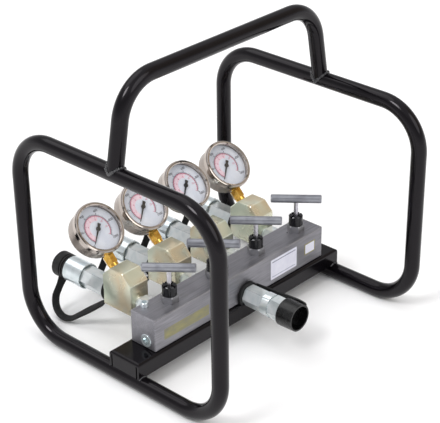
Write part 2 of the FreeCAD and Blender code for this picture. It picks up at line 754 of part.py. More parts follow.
# Hex nipples that carry the gauge blocks on the manifold block's rear face
def nipple(number):
    long = "nipple_gap + 2 * thread_deep"
    hex_start = "thread_deep + (nipple_gap - nipple_hex) / 2"
    hexed = put(chamfered_hex("nipple_flats", "nipple_hex", "block_edge"), ("0", "0", hex_start))
    shank = cylinder("thread_outer / 2", minus(long, "2 * fit_gap"), ("0", "0", "fit_gap"))
    bored = cut("Nipple", fused("NippleBlank", shank, hexed), cylinder("nipple_bore / 2", long))
    return put(bored, (station_x(number), f"{BLOCK_REAR} - thread_deep", PORT_Z), TO_REAR)


nipples = group("port_nipples", [nipple(number) for number in STATIONS])


def gauge_block(number):
    """A steel block with both top corners taken off at 45 degrees, drilled through and to its rear facet."""
    body = new_body("GaugeBlank")
    sketch = new_sketch(body, "YZ_Plane")
    deep, high, corner = "gauge_block_deep", "gauge_block_high", "gauge_block_corner"
    outline(sketch, [("0", "0"), (deep, "0"), (deep, minus(high, corner)), (minus(deep, corner), high),
                     (corner, high), ("0", minus(high, corner))])
    pad = body.newObject("PartDesign::Pad", "Pad")
    pad.Profile = sketch
    pad.SideType = "Symmetric"
    bind(pad, Length="gauge_block_thick")
    doc.recompute()
    edges = body.newObject("PartDesign::Chamfer", "Edges")
    edges.Base = (pad, [f"Edge{index + 1}" for index in range(len(pad.Shape.Edges))])
    bind(edges, Size="gauge_block_edge")
    put(body, (station_x(number), GAUGE_BLOCK_FRONT, GAUGE_BLOCK_BOTTOM))
    along = station_x(number)
    cross = f"({FACET_Z} - {PORT_Z}) / cos(45)"
    return cut(f"gauge_block_{number + 1}", body,
               cylinder(PORT_HOLE, "thread_deep", (along, GAUGE_BLOCK_FRONT, PORT_Z), TO_REAR),
               cylinder(PORT_HOLE, "thread_deep", (along, f"{GAUGE_BLOCK_REAR} - thread_deep", PORT_Z), TO_REAR),
               cylinder("cross_bore / 2", "gauge_block_deep", (along, GAUGE_BLOCK_FRONT, PORT_Z), TO_REAR),
               cylinder("socket_thread / 2 + fit_gap", "socket_thread_deep",
                        along_stem(number, "-socket_thread_deep"), STEM_WAY),
               cylinder("socket_bore / 2", cross, along_stem(number, f"-{cross}"), STEM_WAY))


gauge_blocks = [gauge_block(number) for number in STATIONS]


# Pressure gauges: socket, case, bezel, window, dial, movement, Bourdon tube and pointer
def socket(number):
    """The brass socket: thread, hexagon, neck through the case wall and the block inside the case."""
    collar_top = "socket_thread_deep + socket_collar"
    hex_top = plus(collar_top, "socket_hex")
    inner_start = "socket_thread_deep + socket_reach - socket_block_from"
    inner_end = plus(inner_start, "socket_block_long")
    hexed = put(chamfered_hex("socket_flats", "socket_hex", "block_edge / 2"), ("0", "0", collar_top))
    thread = cylinder("socket_thread / 2", collar_top)
    neck = cylinder("socket_neck / 2", minus(inner_end, hex_top), ("0", "0", hex_top))
    inner = box(("socket_block", "socket_block", "socket_block_long"),
                ("-socket_block / 2", "-socket_block / 2", inner_start))
    blank = fused("SocketBlank", thread, hexed, neck, inner)
    bored = cut("Socket", blank, cylinder("socket_bore / 2", minus(inner_end, "socket_bore")))
    return put(bored, along_stem(number, "-socket_thread_deep"), STEM_WAY)


def gauge_case(number):
    outer = "case_outer / 2"
    inner = "case_outer / 2 - case_wall"
    cup = turned("Cup", [("0", "0"), (minus(outer, "case_round"), "0"), (outer, "case_round"),
                         (outer, "case_deep"), (inner, "case_deep"), (inner, "case_wall + case_round"),
                         (minus(inner, "case_round"), "case_wall"), ("0", "case_wall")],
                 on_case(number), DIAL_WAY)
    neck = cylinder("socket_neck / 2 + fit_gap", "case_outer / 2",
                    along_stem(number, "socket_reach - case_outer / 2 - 1"), STEM_WAY)
    return cut("Case", cup, neck)


def bezel(number):
    outer = "bezel_outer / 2"
    inner = "case_outer / 2 + fit_gap"
    view = "dial_view / 2"
    start = "bezel_front - bezel_skirt"
    lip = "case_deep + window_thick + 2 * fit_gap"
    profile = [(inner, start), (minus(outer, "1"), start), (outer, plus(start, "1")), (outer, "bezel_front - 2"),
               (minus(outer, "0.6"), "bezel_front - 0.6"), (minus(outer, "2"), "bezel_front"),
               (plus(view, "1.6"), "bezel_front"), (plus(view, "0.4"), "bezel_front - 0.8"),
               (view, "bezel_front - 2"), (view, lip), (inner, lip)]
    return turned("Bezel", profile, on_case(number), DIAL_WAY)


def window(number):
    radius, thick = "case_outer / 2 - fit_gap", "window_thick"
    return turned("Window", [("0", "0"), (radius, "0"), (radius, thick), ("0", thick)],
                  on_case(number, "case_deep + fit_gap"), DIAL_WAY)


def dial(number):
    radius, hole = "case_outer / 2 - case_wall - 4 * fit_gap", "pointer_arbor"
    return turned("Dial", [(hole, "0"), (radius, "0"), (radius, "dial_thick"), (hole, "dial_thick")],
                  on_case(number, "dial_back"), DIAL_WAY)


def movement(number):
    """The movement block on top of the socket, bored for the pointer's arbor."""
    corner = ("-movement_side / 2", "socket_block_long - socket_block_from", "movement_back")
    body = box(("movement_side", "socket_block_from - socket_block_long + movement_side / 2",
                "dial_back - movement_back"), corner)
    bored = cut("Movement", body, cylinder("pointer_arbor / 2 + fit_gap", "dial_back"))
    return put(bored, on_case(number), DIAL_WAY)


def bourdon(number):
    """The Bourdon tube, bent in an arc from the socket round to the movement's side."""
    tube = doc.addObject("Part::Torus", "Bourdon")
    bind(tube, Radius1="bourdon_radius", Radius2="bourdon_tube / 2", Angle3="bourdon_sweep")
    put(tube, ("0", "0", "stem_from_back"), about_z(-90))
    root = box(("socket_block", "socket_block_from", "socket_block"),
               ("-socket_block / 2", "-socket_block_from", "stem_from_back - socket_block / 2"))
    return put(cut("BourdonTube", tube, root), on_case(number), DIAL_WAY)


def pointer(number):
    """Pointer and arbor in one piece, lying at the zero of the scale."""
    base = "dial_back + dial_thick + 1"
    hub = turned("Hub", [("0", "movement_back + 3"), ("pointer_arbor / 2", "movement_back + 3"),
                         ("pointer_arbor / 2", base), ("pointer_hub / 2", base),
                         ("pointer_hub / 2", plus(base, "1.4")), ("0", plus(base, "1.4"))])
    blade = new_body("Blade")
    sketch = new_sketch(blade, "XY_Plane", plus(base, "0.2"))
    outline(sketch, [("-1.3", "0"), ("-0.25", "pointer_long"), ("0.25", "pointer_long"), ("1.3", "0"),
                     ("2.3", "-pointer_tail"), ("-2.3", "-pointer_tail")])
    pad = blade.newObject("PartDesign::Pad", "Pad")
    pad.Profile = sketch
    bind(pad, Length="pointer_thick")
    joined = fused(f"pointer_{number + 1}", hub, blade)
    return put(joined, on_case(number), DIAL_WAY.multiply(about_z(number_of("pointer_zero"))))


sockets = group("gauge_sockets", [socket(number) for number in STATIONS])
cases = group("gauge_cases", [gauge_case(number) for number in STATIONS])
bezels = group("gauge_bezels", [bezel(number) for number in STATIONS])
windows = group("gauge_windows", [window(number) for number in STATIONS])
dials = group("gauge_dials", [dial(number) for number in STATIONS])
movements = group("gauge_movements", [movement(number) for number in STATIONS])
bourdons = group("bourdon_tubes", [bourdon(number) for number in STATIONS])
pointers = [pointer(number) for number in STATIONS]


# Couplers: the four outlets on the gauge blocks and the inlet on the manifold block's front
def outlet(number):
    """Where an outlet coupler meets its gauge block's rear face, with the way it points."""
    return (station_x(number), GAUGE_BLOCK_REAR, PORT_Z), TO_REAR


INLET = (INLET_FACE, TO_FRONT)


def levels(kind):
    """Heights inside a coupler: outer and inner end of the seat, the cone's foot and the chamber's floor."""
    seat_out = f"({kind}_long - mouth_deep)"
    seat_in = f"({seat_out} - poppet_seat_long)"
    cone_in = f"({seat_in} - poppet_chamber / 2 + poppet_seat / 2)"
    return seat_out, seat_in, cone_in, f"({seat_in} - chamber_long)"


def coupler(kind, thread, thread_deep):
    """A coupler's body: thread, neck for the strap's ring, hexagon, and a round end with the poppet's seat."""
    seat_out, seat_in, cone_in, floor = levels(kind)
    shell, neck, long = f"{kind}_shell / 2", f"{kind}_neck / 2", f"{kind}_long"
    neck_long = f"{kind}_neck_long"
    clip, groove = f"{kind}_clip_inner / 2", f"{kind}_groove"
    groove_end = f"{kind}_groove + clip_thick + 2 * fit_gap"
    inner_end = f"fit_gap - {thread_deep}"
    blank = turned("CouplerBlank", [
        ("throat_bore / 2", inner_end), (f"{thread} / 2", inner_end), (f"{thread} / 2", "0"), (neck, "0"),
        (neck, neck_long), (shell, neck_long), (shell, groove), (clip, groove), (clip, groove_end),
        (shell, groove_end), (shell, minus(long, "shell_edge")), (minus(shell, "shell_edge"), long),
        ("mouth_bore / 2", long), ("mouth_bore / 2", seat_out), ("poppet_seat / 2", seat_out),
        ("poppet_seat / 2", seat_in), ("poppet_chamber / 2", cone_in), ("poppet_chamber / 2", floor),
        ("throat_bore / 2", floor)])
    hexed = chamfered_hex(f"{kind}_flats", f"{kind}_hex_end - {neck_long}", "block_edge")
    core = cylinder(minus(shell, "shell_edge"), long)
    return fused("Coupler", blank, cut("HexSleeve", put(hexed, ("0", "0", neck_long)), core))


def offset(label, piece, along):
    """A piece moved along the coupler's axis, in a frame of its own that can be placed again."""
    return group(label, [put(piece, ("0", "0", along))])


def circlip(kind):
    """An open ring in the coupler's groove that keeps the sleeve on."""
    outer, inner = f"{kind}_clip_outer / 2", f"{kind}_clip_inner / 2 + fit_gap"
    ring = turned("Ring", [(inner, "0"), (outer, "0"), (outer, "clip_thick"), (inner, "clip_thick")])
    gap = box((outer, "clip_open", "clip_thick"), ("0", "-clip_open / 2", "0"))
    return offset("Circlip", cut("OpenRing", ring, gap), f"{kind}_groove + fit_gap")


def poppet(kind):
    """The poppet: nose through the seat, conical head, and a tail with three flats guided in the throat."""
    _, seat_in, cone_in, floor = levels(kind)
    cone = f"poppet_chamber / 2 + {cone_in} - 2 * fit_gap"
    back = f"({seat_in} - poppet_head_high - poppet_seat_long)"
    head, nose = "poppet_head / 2", "poppet_nose / 2"
    top = f"{cone} - {nose} + poppet_nose_high"
    turning = turned("PoppetHead", [("0", back), (head, back), (head, minus(cone, head)),
                                    (nose, minus(cone, nose)), (nose, top), ("0", top)])
    start = f"({floor} - poppet_tail_long)"
    tail = doc.addObject("Part::Prism", "Prism")
    tail.Polygon = 3
    bind(tail, Circumradius="2 * poppet_flat", Height=minus(back, start))
    round_tail = cylinder("throat_bore / 2 - fit_gap", minus(back, start), ("0", "0", start))
    return fused("Poppet", turning, common("Tail", put(tail, ("0", "0", start)), round_tail))


def in_coupler(place, piece, label):
    """A piece drawn along a coupler's axis, put where the coupler is."""
    piece.Label = label
    return put(piece, *place)


def outlet_sleeve():
    bore, outer, thread = "outlet_shell / 2 + fit_gap", "sleeve_outer / 2", "sleeve_thread_bore / 2"
    recess, long = "sleeve_recess_bore / 2", "sleeve_long"
    shoulder = minus(long, "sleeve_thread_deep")
    sleeve = turned("Sleeve", [
        (recess, "0"), (minus(outer, "sleeve_edge"), "0"), (outer, "sleeve_edge"),
        (outer, minus(long, "sleeve_edge")), (minus(outer, "sleeve_edge"), long), (thread, long),
        (thread, shoulder), (bore, shoulder), (bore, "sleeve_recess"), (recess, "sleeve_recess")])
    return offset("Sleeve", sleeve, "sleeve_start")


def inlet_sleeve():
    """The inlet's sleeve: a round half and a half with six flats."""
    outer, long = "inlet_sleeve_outer / 2", "inlet_sleeve_long"
    collar = turned("Collar", [("0", "0"), (minus(outer, "shell_edge"), "0"), (outer, "shell_edge"),
                               (outer, "inlet_sleeve_round"), ("0", "inlet_sleeve_round")])
    flats = put(chamfered_hex("inlet_sleeve_flats", f"{long} - inlet_sleeve_round", "block_edge"),
                ("0", "0", "inlet_sleeve_round"))
    bored = cut("InletSleeve", fused("SleeveBlank", collar, flats), cylinder("inlet_shell / 2 + fit_gap", long),
                cylinder("inlet_thread_bore / 2", "inlet_bore_deep", ("0", "0", f"{long} - inlet_bore_deep")))
    return offset("Sleeve", bored, "inlet_sleeve_start")


def outlet_cap():
    """A rubber dust cap: spigot inside the sleeve, two grooves at its mouth and a closed end."""
    outer, inner = "outlet_cap_outer / 2", "cap_spigot_inner / 2"
    low = minus(outer, "cap_groove")
    spigot = "cap_spigot_outer / 2"
    step = "cap_rib + cap_groove"
    cap = turned("Cap", [
        (inner, "-cap_spigot_long"), (spigot, "-cap_spigot_long"), (spigot, "0"), (outer, "0"),
        (outer, "cap_rib"), (low, "cap_rib"), (low, step), (outer, step), (outer, f"cap_rib + {step}"),
        (low, f"cap_rib + {step}"), (low, f"2 * ({step})"), (outer, f"2 * ({step})"),
        (outer, "cap_long - cap_edge"), (minus(outer, "cap_edge"), "cap_long"), ("0", "cap_long"),
        ("0", "cap_hollow"), (inner, "cap_hollow")])
    return offset("Cap", cap, "outlet_cap_start")


def inlet_cap():
    """The inlet's dust cap, with a deep round recess and a small nub in its outer end."""
    outer, inner, recess = "inlet_cap_outer / 2", "inlet_cap_spigot_inner / 2", "inlet_cap_recess / 2"
    floor = "(inlet_cap_long - inlet_cap_recess_deep)"
    cap = turned("InletCap", [
        ("0", "inlet_cap_hollow"), (inner, "inlet_cap_hollow"), (inner, "-cap_spigot_long"),
        ("inlet_cap_spigot_outer / 2", "-cap_spigot_long"), ("inlet_cap_spigot_outer / 2", "0"), (outer, "0"),
        (outer, floor), ("inlet_cap_end / 2", "inlet_cap_long"), (recess, "inlet_cap_long"), (recess, floor),
        ("inlet_cap_nub / 2", floor), ("inlet_cap_nub / 2", f"{floor} + inlet_cap_nub"),
        ("0", f"{floor} + inlet_cap_nub")])
    return offset("Cap", cap, "inlet_cap_start")


couplers = [in_coupler(outlet(number), coupler("outlet", "thread_outer", "thread_deep"), "OutletCoupler")
            for number in STATIONS]
outlet_couplers = group("outlet_couplers", couplers)
inlet_coupler = in_coupler(INLET, coupler("inlet", "inlet_thread", "inlet_thread_deep"), "inlet_coupler")
clip_pieces = [in_coupler(outlet(number), circlip("outlet"), "OutletClip") for number in STATIONS]
clip_pieces.append(in_coupler(INLET, circlip("inlet"), "InletClip"))
circlips = group("sleeve_circlips", clip_pieces)
poppets = [in_coupler(outlet(number), poppet("outlet"), f"poppet_{number + 1}") for number in STATIONS]
poppets.append(in_coupler(INLET, poppet("inlet"), "inlet_poppet"))
sleeves = [in_coupler(outlet(number), outlet_sleeve(), f"coupler_sleeve_{number + 1}") for number in STATIONS]
sleeves.append(in_coupler(INLET, inlet_sleeve(), "inlet_sleeve"))
caps = [in_coupler(outlet(number), outlet_cap(), f"dust_cap_{number + 1}") for number in STATIONS]
caps.append(in_coupler(INLET, inlet_cap(), "inlet_dust_cap"))


# Straps: a flat rubber band swept from the ring on the coupler's neck to the side of the cap
def heading_of(angle):
    return FreeCAD.Vector(math.cos(math.radians(angle)), math.sin(math.radians(angle)), 0)


def strap_path(sketch, kind):
    """Three arcs that turn clockwise, joined by two straights whose lengths bring the band to its cap.

    In the sketch, X runs along the coupler and Y away from its axis."""
    arcs = [(number_of(f"{kind}_strap_{part}"), number_of(f"{kind}_strap_{part}_turn"))
            for part in ("root", "sweep", "end")]
    start = FreeCAD.Vector(number_of(f"{kind}_neck_long") / 2, number_of("strap_from"), 0)
    goal = FreeCAD.Vector(number_of(f"{kind}_cap_start") + number_of(f"{kind}_strap_on_cap"),
                          number_of(f"{kind}_cap_outer") / 2 - number_of("strap_into_cap"), 0)
    headings = [90.0]
    for _, turn in arcs:
        headings.append(headings[-1] - turn)
    left = goal - start
    for (radius, _), before, after in zip(arcs, headings, headings[1:]):
        left -= (heading_of(before - 90) - heading_of(after - 90)) * radius
    first, second = heading_of(headings[1]), heading_of(headings[3])
    area = first.cross(second).z
    straights = [left.cross(second).z / area, None, first.cross(left).z / area]
    here = start
    for (radius, _), before, after, straight in zip(arcs, headings, headings[1:], straights):
        centre = here + heading_of(before - 90) * radius
        arc_between(sketch, (centre.x, centre.y), radius, after + 90, before + 90)
        here = centre - heading_of(after - 90) * radius
        if straight is not None:
            end = here + heading_of(after) * straight
            line_between(sketch, (here.x, here.y), (end.x, end.y))
            here = end
    for edge in range(len(sketch.Geometry)):
        sketch.addConstraint(Sketcher.Constraint("Block", edge))


def strap(kind, spin, place, cap):
    """Ring and band in one piece, cut to the side of the cap that it is moulded to."""
    band = new_body("Band")
    spine = new_sketch(band, "YZ_Plane")
    strap_path(spine, kind)
    flat = new_sketch(band, "XY_Plane", "strap_from")
    near, far = f"({kind}_neck_long - strap_thick) / 2", f"({kind}_neck_long + strap_thick) / 2"
    outline(flat, [("-strap_wide / 2", near), ("strap_wide / 2", near), ("strap_wide / 2", far),
                   ("-strap_wide / 2", far)])
    doc.recompute()
    sweep = band.newObject("PartDesign::AdditivePipe", "Sweep")
    sweep.Profile = flat
    sweep.Spine = (spine, [f"Edge{number + 1}" for number in range(len(spine.Geometry))])
    put(band, ("0", "0", "0"), about_z(spin).multiply(FreeCAD.Rotation(TURN_X, 90)))
    bore, outer = f"{kind}_neck / 2 + fit_gap", "strap_ring_outer / 2"
    thick = f"{kind}_neck_long - 2 * fit_gap"
    ring = turned("StrapRing", [(bore, "0"), (outer, "0"), (outer, thick), (bore, thick)])
    whole = fused("StrapWhole", band, put(ring, ("0", "0", "fit_gap")))
    return cut("Strap", put(whole, *place), cap)


strap_pieces = [strap("outlet", 180.0 + number_of("outlet_strap_lean"), outlet(number), caps[number])
                for number in STATIONS]
inlet_strap = strap("inlet", 180.0 - number_of("inlet_strap_lean"), INLET, caps[4])
LEDGE = ("inlet_x - strap_ring_outer / 2", f"{BLOCK_FRONT} - strap_ring_outer / 2",
         f"{RAIL_BOTTOM} + strap_ring_gap")
strap_pieces.append(cut("FlatFootedStrap", inlet_strap,
                        box(("strap_ring_outer", "strap_ring_outer", "rail_high"), LEDGE)))
straps = group("dust_cap_straps", strap_pieces)


# Checks and export
PIECES = [left_loop, right_loop, handle, rail, block, plug, vent, bolts, bonnets, packings, gland_nuts, nipples,
          sockets, cases, bezels, windows, dials, movements, bourdons, outlet_couplers, inlet_coupler, circlips,
          straps, *stems, *needles, *tee_bars, *gauge_blocks, *pointers, *poppets, *sleeves, *caps]
doc.recompute()
for thing in doc.Objects:
    if "Invalid" in thing.State or "Error" in thing.State:
        raise RuntimeError(f"{thing.Label} ({thing.TypeId}) is {thing.State}")
for piece in PIECES:
    if piece.Shape.isNull() or not piece.Shape.isValid():
        raise RuntimeError(f"{piece.Label} has no valid shape")
os.makedirs("parts", exist_ok=True)
for piece in PIECES:
    piece.Shape.exportStep(f"parts/{piece.Label}.step")
print(len(PIECES), "pieces,", sum(len(piece.Shape.Solids) for piece in PIECES), "solids")
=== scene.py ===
import math

import bmesh
import bpy
from mathutils import Matrix, Vector


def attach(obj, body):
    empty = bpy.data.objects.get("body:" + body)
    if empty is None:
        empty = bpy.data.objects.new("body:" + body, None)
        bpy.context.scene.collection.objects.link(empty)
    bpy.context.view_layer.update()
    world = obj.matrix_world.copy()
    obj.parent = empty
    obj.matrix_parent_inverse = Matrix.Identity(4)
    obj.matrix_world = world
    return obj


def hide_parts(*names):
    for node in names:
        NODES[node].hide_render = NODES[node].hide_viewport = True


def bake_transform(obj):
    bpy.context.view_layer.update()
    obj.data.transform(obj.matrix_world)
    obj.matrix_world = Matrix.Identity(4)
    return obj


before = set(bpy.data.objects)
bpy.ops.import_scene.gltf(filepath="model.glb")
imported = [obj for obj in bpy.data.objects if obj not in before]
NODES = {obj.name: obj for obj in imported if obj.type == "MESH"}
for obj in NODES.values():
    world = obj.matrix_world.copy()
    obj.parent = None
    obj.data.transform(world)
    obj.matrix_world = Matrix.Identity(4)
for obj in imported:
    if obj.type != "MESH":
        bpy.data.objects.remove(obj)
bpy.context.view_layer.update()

# Hydraulic manifold in its carrying cage. X runs along the block, the outlets look to +Y and Z is up.
# Lengths are in millimetres, unless a comment says metres, and become metres by MM or mm().
MM = 0.001
STATIONS = (-107.0, -28.4, 50.2, 128.8)  # the four outlets along X


def screen(red, green, blue):
    """A colour as it shows on a screen, 0 to 255, as linear values."""
    parts = [value / 255 for value in (red, green, blue)]
    return (*[v / 12.92 if v <= 0.04045 else ((v + 0.055) / 1.055) ** 2.4 for v in parts], 1.0)


# Finishes
class Finish:
    """A material built from nodes. Its patterns sit on the piece, in millimetres."""

    def __init__(self, name, **values):
        self.material = bpy.data.materials.new(name)
        self.material.use_nodes = True
        self.tree = self.material.node_tree
        self.surface = self.tree.nodes["Principled BSDF"]
        self.place = self.node("ShaderNodeTexCoord").outputs["Object"]
        for key, value in values.items():
            socket = key.replace("_", " ").title().replace("Ior", "IOR")
            self.surface.inputs[socket].default_value = value

    def node(self, kind, **settings):
        node = self.tree.nodes.new(kind)
        for name, value in settings.items():
            setattr(node, name, value)
        return node

    def link(self, source, target):
        self.tree.links.new(source, target)

    def noise(self, size, stretch=(1, 1, 1), detail=3.0, rough=0.5, twist=0.0):
        """Noise with spots about size millimetres across, longer along an axis by its stretch."""
        mapping = self.node("ShaderNodeMapping")
        mapping.inputs["Scale"].default_value = [1 / (size * MM * along) for along in stretch]
        noise = self.node("ShaderNodeTexNoise")
        noise.inputs["Scale"].default_value = 1.0
        noise.inputs["Detail"].default_value = detail
        noise.inputs["Roughness"].default_value = rough
        noise.inputs["Distortion"].default_value = twist
        self.link(self.place, mapping.inputs["Vector"])
        self.link(mapping.outputs["Vector"], noise.inputs["Vector"])
        return noise.outputs["Fac"]

    def spread(self, source, low, high, start=0.0, end=1.0):
        """The part of source between low and high, laid out from start to end."""
        ranged = self.node("ShaderNodeMapRange", interpolation_type="SMOOTHSTEP")
        self.link(source, ranged.inputs["Value"])
        for name, value in (("From Min", low), ("From Max", high), ("To Min", start), ("To Max", end)):
            ranged.inputs[name].default_value = value
        return ranged.outputs["Result"]

    def times(self, first, second):
        product = self.node("ShaderNodeMath", operation="MULTIPLY")
        self.link(first, product.inputs[0])
        self.link(second, product.inputs[1])
        return product.outputs[0]

    def colours(self, source, *stops):
        """Colours that follow the value of source, as (position, colour) pairs."""
        ramp = self.node("ShaderNodeValToRGB")
        elements = ramp.color_ramp.elements
        for index, (position, value) in enumerate(stops):
            element = elements[index] if index < 2 else elements.new(position)
            element.position = position
            element.color = value
        self.link(source, ramp.inputs["Fac"])
        return ramp.outputs["Color"]

    def mix(self, share, first, second):
        """The first colour where share is 0 and the second where it is 1."""
        mixed = self.node("ShaderNodeMix", data_type="RGBA")
        self.link(share, mixed.inputs["Factor"])
        for name, source in (("A", first), ("B", second)):
            socket = next(item for item in mixed.inputs if item.name == name and item.type == "RGBA")
            if isinstance(source, tuple):
                socket.default_value = source
            else:
                self.link(source, socket)
        return next(item for item in mixed.outputs if item.type == "RGBA")

    def edges(self, radius):
        """1 along sharp edges and 0 on open faces, by how far a rounded normal leaves the face's own."""
        open_face, full_edge = 0.96, 0.82
        rounded = self.node("ShaderNodeBevel", samples=8)
        rounded.inputs["Radius"].default_value = radius * MM
        flat = self.node("ShaderNodeNewGeometry")
        dot = self.node("ShaderNodeVectorMath", operation="DOT_PRODUCT")
        self.link(rounded.outputs["Normal"], dot.inputs[0])
        self.link(flat.outputs["Normal"], dot.inputs[1])
        return self.spread(dot.outputs["Value"], open_face, full_edge)

    def paint(self, source):
        self.link(source, self.surface.inputs["Base Color"])

    def rough(self, source):
        self.link(source, self.surface.inputs["Roughness"])

    def bump(self, source, height, strength=0.5):
        bump = self.node("ShaderNodeBump")
        bump.inputs["Distance"].default_value = height * MM
        bump.inputs["Strength"].default_value = strength
        self.link(source, bump.inputs["Height"])
        self.link(bump.outputs["Normal"], self.surface.inputs["Normal"])


def cage_paint():
    """Glossy black paint with a slight orange peel, dust and a few rubs."""
    paint = Finish("cage_paint", ior=1.45, specular_ior_level=0.28, specular_tint=(1.0, 0.94, 1.0, 1.0))
    dust = paint.noise(45, detail=5.0, rough=0.6)
    base = paint.colours(dust, (0.35, screen(7, 6, 8)), (0.75, screen(15, 13, 16)))
    rubs = paint.times(paint.edges(0.9), paint.spread(paint.noise(6, detail=4.0), 0.52, 0.68))
    paint.paint(paint.mix(rubs, base, screen(62, 62, 66)))
    paint.rough(paint.spread(paint.noise(20, detail=4.0), 0.3, 0.75, 0.11, 0.19))
    paint.bump(paint.noise(3.0, detail=2.0), 0.015, 0.6)
    return paint.material


def block_finish():
    """Dull grey machined steel, brushed along the block, with a painted highlight along its edges."""
    steel = Finish("block_finish", metallic=0.82, ior=1.6)
    grain = steel.noise(0.6, stretch=(60, 1.5, 1.5), detail=3.0)
    patches = steel.noise(38, stretch=(1.6, 1, 1), detail=4.0, rough=0.6)
    base = steel.colours(patches, (0.3, screen(118, 117, 123)), (0.55, screen(138, 137, 142)),
                         (0.8, screen(126, 128, 129)))
    lines = steel.mix(steel.spread(grain, 0.35, 0.7), base, screen(152, 151, 157))
    # Paler along sharp edges: a painted highlight.
    steel.paint(steel.mix(steel.edges(1.0), lines, screen(204, 203, 207)))
    steel.rough(steel.spread(steel.noise(9, stretch=(4, 1, 1), detail=4.0), 0.3, 0.7, 0.36, 0.54))
    steel.bump(grain, 0.02)
    return steel.material


def plated(name, stops, roughness, spot, turned=(30, 1, 30), metallic=1.0, edge_reflection=None, edge_reflection_wide=0.5,
           line=0.5, line_height=0.004):
    """Plated or turned metal, with cloudy plating, fine tool lines, smears and a painted reflection along its
    edges.
    """
    metal = Finish(name, metallic=metallic, ior=1.6)
    cloudy = metal.colours(metal.noise(spot, detail=1.5, rough=0.45, twist=0.3), *stops)
    lines = metal.noise(line, stretch=turned, detail=1.0)
    # Painted reflection along sharp edges: a pale edge colour paints a highlight, a dark one paints a dark
    # reflection.
    if edge_reflection:
        cloudy = metal.mix(metal.edges(edge_reflection_wide), cloudy, edge_reflection)
    metal.paint(cloudy)
    low, high = roughness
    metal.rough(metal.spread(metal.noise(spot * 0.5, detail=1.5), 0.32, 0.7, low, high))
    metal.bump(lines, line_height)
    return metal.material


def rubber(name, dark, dusty, roughness, shine):
    """Black moulded rubber with fine grain and pale dust."""
    soft = Finish(name, ior=1.45, specular_ior_level=shine)
    dust = soft.spread(soft.noise(12, detail=5.0, rough=0.65), 0.45, 0.8)
    soft.paint(soft.mix(dust, dark, dusty))
    low, high = roughness
    soft.rough(soft.spread(soft.noise(5, detail=3.0), 0.3, 0.7, low, high))
    soft.bump(soft.noise(0.8, detail=2.0), 0.02, 0.6)
    return soft.material


def plain(name, dark, light, roughness, spot=8.0, grain=0.4, height=0.01, **values):
    """A print, paper, plastic or black finish whose colour and gloss vary a little."""
    skin = Finish(name, ior=1.45, **values)
    skin.paint(skin.colours(skin.noise(spot, detail=4.0), (0.35, dark), (0.7, light)))
    low, high = roughness
    skin.rough(skin.spread(skin.noise(spot * 0.6, detail=3.0), 0.3, 0.7, low, high))
    skin.bump(skin.noise(grain, detail=2.0), height)
    return skin.material


def worn_stripe():
    """What is left of a faded yellow print: patches of olive over the block's grey."""
    print_ = Finish("faded_print", ior=1.45)
    patches = print_.noise(7, stretch=(3, 1, 1), detail=5.0, rough=0.7)
    print_.paint(print_.colours(patches, (0.3, screen(122, 120, 106)), (0.5, screen(140, 136, 100)),
                                (0.72, screen(158, 152, 104))))
    print_.rough(print_.spread(patches, 0.3, 0.7, 0.45, 0.62))
    print_.bump(print_.noise(0.6, detail=2.0), 0.01)
    return print_.material


def clear_glass():
    """Clear window: light passes to the dial, and the glass keeps its gloss and a few smears."""
    glass = Finish("gauge_window", transmission_weight=1.0, ior=1.46, specular_ior_level=0.25)
    glass.paint(glass.colours(glass.noise(14, detail=3.0), (0.3, screen(250, 252, 254)), (0.7, (1, 1, 1, 1))))
    glass.rough(glass.spread(glass.noise(9, detail=4.0), 0.4, 0.8, 0.01, 0.06))
    rays = glass.node("ShaderNodeLightPath")
    either = glass.node("ShaderNodeMath", operation="MAXIMUM")
    glass.link(rays.outputs["Is Shadow Ray"], either.inputs[0])
    glass.link(rays.outputs["Is Diffuse Ray"], either.inputs[1])
    through = glass.node("ShaderNodeBsdfTransparent")
    both = glass.node("ShaderNodeMixShader")
    glass.link(either.outputs[0], both.inputs["Fac"])
    glass.link(glass.surface.outputs["BSDF"], both.inputs[1])
    glass.link(through.outputs["BSDF"], both.inputs[2])
    glass.link(both.outputs["Shader"], glass.tree.nodes["Material Output"].inputs["Surface"])
    return glass.material


